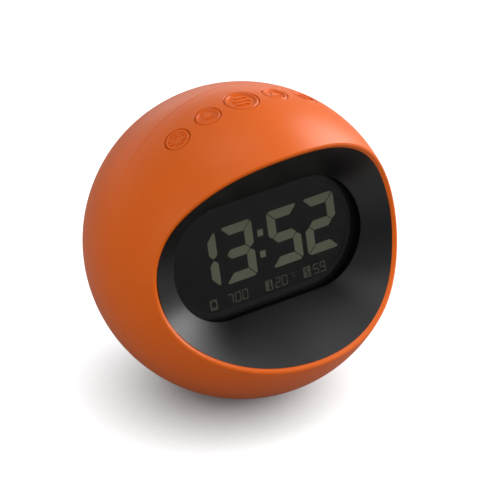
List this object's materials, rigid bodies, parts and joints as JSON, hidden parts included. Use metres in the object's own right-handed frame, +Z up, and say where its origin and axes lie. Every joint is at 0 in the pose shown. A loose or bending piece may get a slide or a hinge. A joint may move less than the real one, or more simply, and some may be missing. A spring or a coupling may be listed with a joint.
{
  "type": "digital alarm clock",
  "caption": "Ball-shaped digital alarm clock with a display sunk in a dark oval bowl, push buttons on an arc over the top, a battery door and a power inlet behind.",
  "frame": {"origin": "middle of the foot pad's underside, on the surface the clock stands on", "axes": "+Z up, the display looks towards -Y and leans back so that it looks up by 15 degrees, +X to the right of someone who reads the display"},
  "size_m": [0.113, 0.1062, 0.1097],
  "materials": {
    "shell_plastic": "satin moulded, orange",
    "bezel_plastic": "fine satin, near black",
    "lens_acrylic": "polished, smoked",
    "lcd_glass": "polished, near black with pale segments",
    "clear_acrylic": "clear, frosted back",
    "pad_rubber": "matt black",
    "strip_rubber": "striped, matt",
    "board_laminate": "solder mask",
    "part_black": "moulded, black",
    "part_white": "moulded, white",
    "bright_steel": "plated",
    "strip_film": "amber film",
    "cell_sleeve": "plain printed sleeve over a metal can",
    "lead_insulation": "smooth"
  },
  "bodies": {
    "clock": {"front_shell": "shell_plastic", "rear_shell": "shell_plastic", "display_bezel": "bezel_plastic", "display_lens": "lens_acrylic", "lcd_panel": "lcd_glass", "light_guide": "clear_acrylic", "zebra_strips": "strip_rubber", "backlight_leds": "part_white", "lcd_frame": "part_black", "main_board": "board_laminate", "power_board": "board_laminate", "clock_chip": "part_black", "quartz_crystal": "bright_steel", "temperature_sensor": "part_black", "ribbon_connector": "part_white", "board_screws": "bright_steel", "bracket_screws": "bright_steel", "case_screws": "bright_steel", "button_switches": "part_black", "switch_strip": "strip_film", "button_ribbon": "strip_film", "switch_bracket": "part_black", "battery_box": "part_black", "battery_cells": "cell_sleeve", "battery_contacts": "bright_steel", "power_socket": "bright_steel", "socket_insert": "part_black", "alarm_sounder": "part_black", "foot_pad": "pad_rubber", "battery_leads": "lead_insulation", "power_leads": "lead_insulation", "sounder_leads": "lead_insulation"},
    "set_key": {"set_button": "shell_plastic", "set_plunger": "part_black"},
    "down_key": {"down_button": "shell_plastic", "down_plunger": "part_black"},
    "snooze_key": {"snooze_button": "shell_plastic", "snooze_plunger": "part_black"},
    "up_key": {"up_button": "shell_plastic", "up_plunger": "part_black"},
    "light_key": {"light_button": "shell_plastic", "light_plunger": "part_black"},
    "battery_door": {"battery_door": "shell_plastic"}
  },
  "joints": [
    {"name": "set_press", "type": "slide", "parent": "clock", "child": "set_key", "axis": [0.4821, 0, -0.8761], "range_m": [0, 0.0007], "stiffness_N_per_m": 1500, "springref_m": -0.0004},
    {"name": "down_press", "type": "slide", "parent": "clock", "child": "down_key", "axis": [0.2544, 0, -0.9671], "range_m": [0, 0.0007], "stiffness_N_per_m": 1500, "springref_m": -0.0004},
    {"name": "snooze_press", "type": "slide", "parent": "clock", "child": "snooze_key", "axis": [0, 0, -1], "range_m": [0, 0.0007], "stiffness_N_per_m": 1500, "springref_m": -0.0004},
    {"name": "up_press", "type": "slide", "parent": "clock", "child": "up_key", "axis": [-0.2544, 0, -0.9671], "range_m": [0, 0.0007], "stiffness_N_per_m": 1500, "springref_m": -0.0004},
    {"name": "light_press", "type": "slide", "parent": "clock", "child": "light_key", "axis": [-0.4821, 0, -0.8761], "range_m": [0, 0.0007], "stiffness_N_per_m": 1500, "springref_m": -0.0004},
    {"name": "battery_door_lift", "type": "slide", "parent": "clock", "child": "battery_door", "axis": [0, 0.9659, -0.2588], "range_m": [0, 0.03]}
  ]
}
